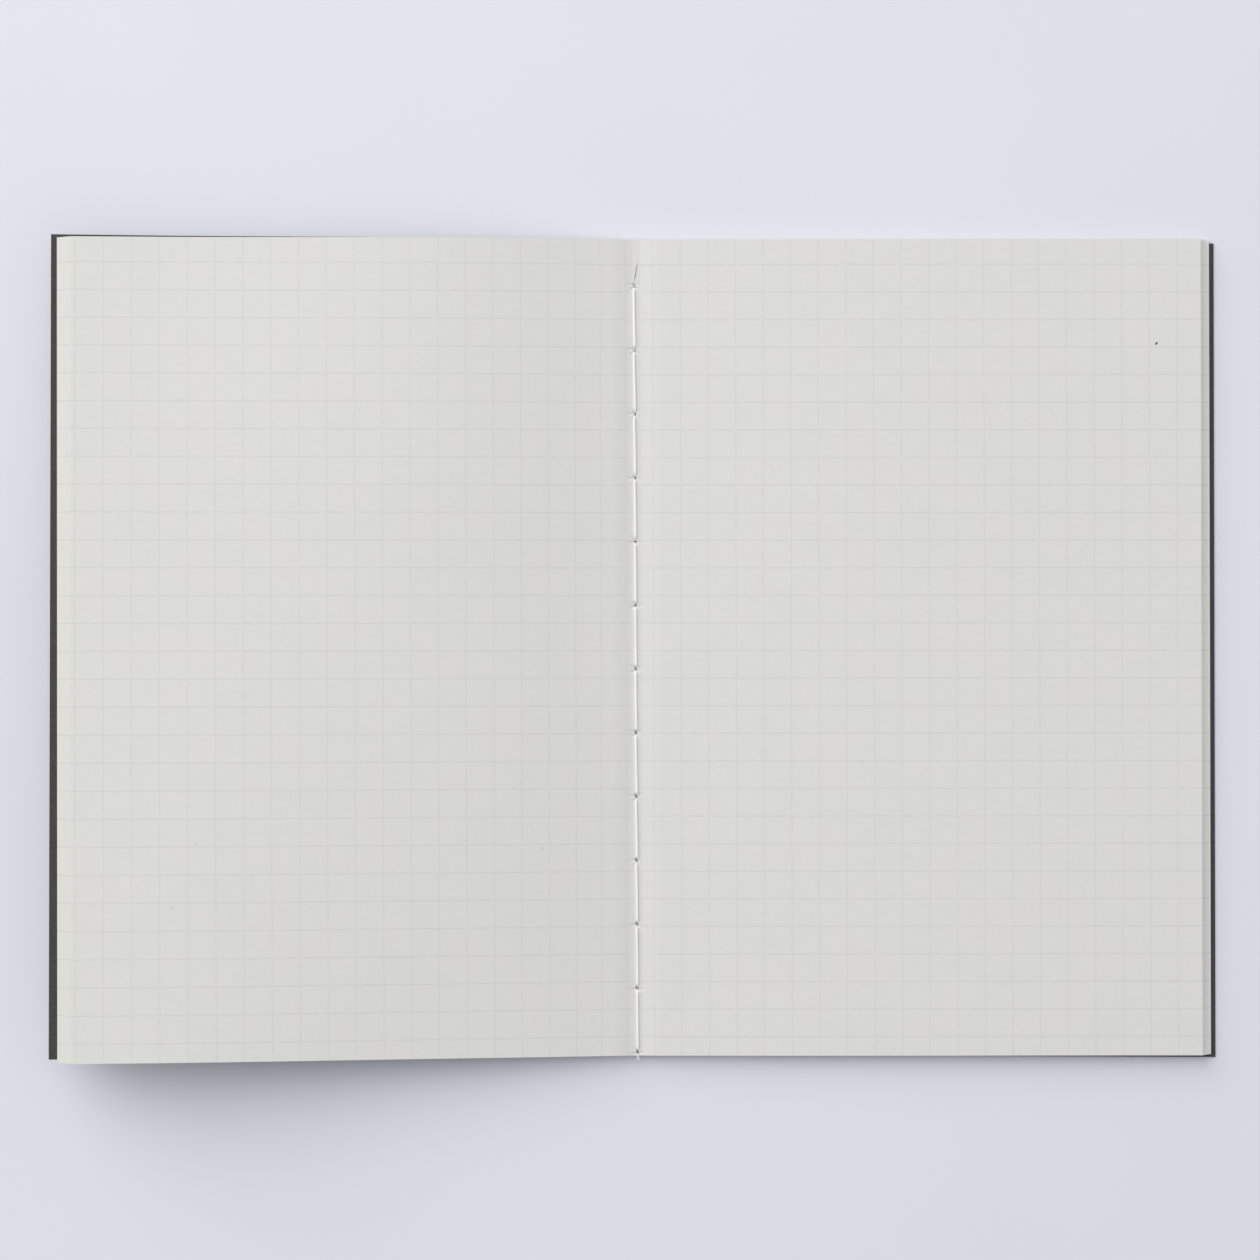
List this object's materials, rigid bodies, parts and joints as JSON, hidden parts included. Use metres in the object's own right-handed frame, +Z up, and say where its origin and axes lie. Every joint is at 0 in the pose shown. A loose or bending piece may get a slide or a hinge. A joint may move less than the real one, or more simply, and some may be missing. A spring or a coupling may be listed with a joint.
{
  "type": "sewn sketch notebook",
  "caption": "Open pocket sketchbook: a thread-sewn section of faintly squared paper in a thin dark card cover, lying at its centre spread with leaves that turn about the crease.",
  "frame": {"origin": "on the table under the middle of the crease, half way between head and tail", "axes": "+X towards the right-hand page's fore edge, +Y towards the head of the page, +Z up from the table"},
  "size_m": [0.2097, 0.148, 0.0122],
  "materials": {
    "cover_card": "matt black-grey card, uncoated",
    "grid_paper": "matt off-white writing paper with a faint 5 mm square grid",
    "sewing_thread": "white twisted polyester sewing thread"
  },
  "bodies": {
    "binding": {"back_cover": "cover_card", "cover_spine": "cover_card", "sheet_fold_01": "grid_paper", "sheet_fold_02": "grid_paper", "sheet_fold_03": "grid_paper", "sheet_fold_04": "grid_paper", "sheet_fold_05": "grid_paper", "sheet_fold_06": "grid_paper", "sheet_fold_07": "grid_paper", "sheet_fold_08": "grid_paper", "sheet_fold_09": "grid_paper", "sheet_fold_10": "grid_paper", "sheet_fold_11": "grid_paper", "sheet_fold_12": "grid_paper", "sheet_fold_13": "grid_paper", "sheet_fold_14": "grid_paper", "sheet_fold_15": "grid_paper", "sheet_fold_16": "grid_paper", "needle_thread": "sewing_thread", "bobbin_thread": "sewing_thread"},
    "front_cover": {"front_cover": "cover_card"},
    "left_leaf_16": {"left_leaf_16": "grid_paper"},
    "left_leaf_15": {"left_leaf_15": "grid_paper"},
    "left_leaf_14": {"left_leaf_14": "grid_paper"},
    "left_leaf_13": {"left_leaf_13": "grid_paper"},
    "left_leaf_12": {"left_leaf_12": "grid_paper"},
    "left_leaf_11": {"left_leaf_11": "grid_paper"},
    "left_leaf_10": {"left_leaf_10": "grid_paper"},
    "left_leaf_09": {"left_leaf_09": "grid_paper"},
    "left_leaf_08": {"left_leaf_08": "grid_paper"},
    "left_leaf_07": {"left_leaf_07": "grid_paper"},
    "left_leaf_06": {"left_leaf_06": "grid_paper"},
    "left_leaf_05": {"left_leaf_05": "grid_paper"},
    "left_leaf_04": {"left_leaf_04": "grid_paper"},
    "left_leaf_03": {"left_leaf_03": "grid_paper"},
    "left_leaf_02": {"left_leaf_02": "grid_paper"},
    "left_leaf_01": {"left_leaf_01": "grid_paper"},
    "right_leaf_16": {"right_leaf_16": "grid_paper"},
    "right_leaf_15": {"right_leaf_15": "grid_paper"},
    "right_leaf_14": {"right_leaf_14": "grid_paper"},
    "right_leaf_13": {"right_leaf_13": "grid_paper"},
    "right_leaf_12": {"right_leaf_12": "grid_paper"},
    "right_leaf_11": {"right_leaf_11": "grid_paper"},
    "right_leaf_10": {"right_leaf_10": "grid_paper"},
    "right_leaf_09": {"right_leaf_09": "grid_paper"},
    "right_leaf_08": {"right_leaf_08": "grid_paper"},
    "right_leaf_07": {"right_leaf_07": "grid_paper"},
    "right_leaf_06": {"right_leaf_06": "grid_paper"},
    "right_leaf_05": {"right_leaf_05": "grid_paper"},
    "right_leaf_04": {"right_leaf_04": "grid_paper"},
    "right_leaf_03": {"right_leaf_03": "grid_paper"},
    "right_leaf_02": {"right_leaf_02": "grid_paper"},
    "right_leaf_01": {"right_leaf_01": "grid_paper"}
  },
  "joints": [
    {"name": "front_cover_turn", "type": "hinge", "parent": "binding", "child": "front_cover", "pos_m": [0, 0, 0.00264], "axis": [0, 1, 0], "range_deg": [-5.35, 171.8], "stiffness_Nm_per_rad": 0.05, "springref_deg": 11.97},
    {"name": "left_leaf_16_turn", "type": "hinge", "parent": "front_cover", "child": "left_leaf_16", "pos_m": [0, 0, 0.00264], "axis": [0, 1, 0], "range_deg": [0, 171.8]},
    {"name": "left_leaf_15_turn", "type": "hinge", "parent": "left_leaf_16", "child": "left_leaf_15", "pos_m": [0, 0, 0.00264], "axis": [0, 1, 0], "range_deg": [0, 171.8]},
    {"name": "left_leaf_14_turn", "type": "hinge", "parent": "left_leaf_15", "child": "left_leaf_14", "pos_m": [0, 0, 0.00264], "axis": [0, 1, 0], "range_deg": [0, 171.8]},
    {"name": "left_leaf_13_turn", "type": "hinge", "parent": "left_leaf_14", "child": "left_leaf_13", "pos_m": [0, 0, 0.00264], "axis": [0, 1, 0], "range_deg": [0, 171.8]},
    {"name": "left_leaf_12_turn", "type": "hinge", "parent": "left_leaf_13", "child": "left_leaf_12", "pos_m": [0, 0, 0.00264], "axis": [0, 1, 0], "range_deg": [0, 171.8]},
    {"name": "left_leaf_11_turn", "type": "hinge", "parent": "left_leaf_12", "child": "left_leaf_11", "pos_m": [0, 0, 0.00264], "axis": [0, 1, 0], "range_deg": [0, 171.8]},
    {"name": "left_leaf_10_turn", "type": "hinge", "parent": "left_leaf_11", "child": "left_leaf_10", "pos_m": [0, 0, 0.00264], "axis": [0, 1, 0], "range_deg": [0, 171.8]},
    {"name": "left_leaf_09_turn", "type": "hinge", "parent": "left_leaf_10", "child": "left_leaf_09", "pos_m": [0, 0, 0.00264], "axis": [0, 1, 0], "range_deg": [0, 171.8]},
    {"name": "left_leaf_08_turn", "type": "hinge", "parent": "left_leaf_09", "child": "left_leaf_08", "pos_m": [0, 0, 0.00264], "axis": [0, 1, 0], "range_deg": [0, 171.8]},
    {"name": "left_leaf_07_turn", "type": "hinge", "parent": "left_leaf_08", "child": "left_leaf_07", "pos_m": [0, 0, 0.00264], "axis": [0, 1, 0], "range_deg": [0, 171.8]},
    {"name": "left_leaf_06_turn", "type": "hinge", "parent": "left_leaf_07", "child": "left_leaf_06", "pos_m": [0, 0, 0.00264], "axis": [0, 1, 0], "range_deg": [0, 171.8]},
    {"name": "left_leaf_05_turn", "type": "hinge", "parent": "left_leaf_06", "child": "left_leaf_05", "pos_m": [0, 0, 0.00264], "axis": [0, 1, 0], "range_deg": [0, 171.8]},
    {"name": "left_leaf_04_turn", "type": "hinge", "parent": "left_leaf_05", "child": "left_leaf_04", "pos_m": [0, 0, 0.00264], "axis": [0, 1, 0], "range_deg": [0, 171.8]},
    {"name": "left_leaf_03_turn", "type": "hinge", "parent": "left_leaf_04", "child": "left_leaf_03", "pos_m": [0, 0, 0.00264], "axis": [0, 1, 0], "range_deg": [0, 171.8]},
    {"name": "left_leaf_02_turn", "type": "hinge", "parent": "left_leaf_03", "child": "left_leaf_02", "pos_m": [0, 0, 0.00264], "axis": [0, 1, 0], "range_deg": [0, 171.8]},
    {"name": "left_leaf_01_turn", "type": "hinge", "parent": "left_leaf_02", "child": "left_leaf_01", "pos_m": [0, 0, 0.00264], "axis": [0, 1, 0], "range_deg": [0, 171.8]},
    {"name": "right_leaf_16_turn", "type": "hinge", "parent": "binding", "child": "right_leaf_16", "pos_m": [0, 0, 0.00264], "axis": [0, 1, 0], "range_deg": [-171.8, 0]},
    {"name": "right_leaf_15_turn", "type": "hinge", "parent": "right_leaf_16", "child": "right_leaf_15", "pos_m": [0, 0, 0.00264], "axis": [0, 1, 0], "range_deg": [-171.8, 0]},
    {"name": "right_leaf_14_turn", "type": "hinge", "parent": "right_leaf_15", "child": "right_leaf_14", "pos_m": [0, 0, 0.00264], "axis": [0, 1, 0], "range_deg": [-171.8, 0]},
    {"name": "right_leaf_13_turn", "type": "hinge", "parent": "right_leaf_14", "child": "right_leaf_13", "pos_m": [0, 0, 0.00264], "axis": [0, 1, 0], "range_deg": [-171.8, 0]},
    {"name": "right_leaf_12_turn", "type": "hinge", "parent": "right_leaf_13", "child": "right_leaf_12", "pos_m": [0, 0, 0.00264], "axis": [0, 1, 0], "range_deg": [-171.8, 0]},
    {"name": "right_leaf_11_turn", "type": "hinge", "parent": "right_leaf_12", "child": "right_leaf_11", "pos_m": [0, 0, 0.00264], "axis": [0, 1, 0], "range_deg": [-171.8, 0]},
    {"name": "right_leaf_10_turn", "type": "hinge", "parent": "right_leaf_11", "child": "right_leaf_10", "pos_m": [0, 0, 0.00264], "axis": [0, 1, 0], "range_deg": [-171.8, 0]},
    {"name": "right_leaf_09_turn", "type": "hinge", "parent": "right_leaf_10", "child": "right_leaf_09", "pos_m": [0, 0, 0.00264], "axis": [0, 1, 0], "range_deg": [-171.8, 0]},
    {"name": "right_leaf_08_turn", "type": "hinge", "parent": "right_leaf_09", "child": "right_leaf_08", "pos_m": [0, 0, 0.00264], "axis": [0, 1, 0], "range_deg": [-171.8, 0]},
    {"name": "right_leaf_07_turn", "type": "hinge", "parent": "right_leaf_08", "child": "right_leaf_07", "pos_m": [0, 0, 0.00264], "axis": [0, 1, 0], "range_deg": [-171.8, 0]},
    {"name": "right_leaf_06_turn", "type": "hinge", "parent": "right_leaf_07", "child": "right_leaf_06", "pos_m": [0, 0, 0.00264], "axis": [0, 1, 0], "range_deg": [-171.8, 0]},
    {"name": "right_leaf_05_turn", "type": "hinge", "parent": "right_leaf_06", "child": "right_leaf_05", "pos_m": [0, 0, 0.00264], "axis": [0, 1, 0], "range_deg": [-171.8, 0]},
    {"name": "right_leaf_04_turn", "type": "hinge", "parent": "right_leaf_05", "child": "right_leaf_04", "pos_m": [0, 0, 0.00264], "axis": [0, 1, 0], "range_deg": [-171.8, 0]},
    {"name": "right_leaf_03_turn", "type": "hinge", "parent": "right_leaf_04", "child": "right_leaf_03", "pos_m": [0, 0, 0.00264], "axis": [0, 1, 0], "range_deg": [-171.8, 0]},
    {"name": "right_leaf_02_turn", "type": "hinge", "parent": "right_leaf_03", "child": "right_leaf_02", "pos_m": [0, 0, 0.00264], "axis": [0, 1, 0], "range_deg": [-171.8, 0]},
    {"name": "right_leaf_01_turn", "type": "hinge", "parent": "right_leaf_02", "child": "right_leaf_01", "pos_m": [0, 0, 0.00264], "axis": [0, 1, 0], "range_deg": [-171.8, 0]}
  ]
}
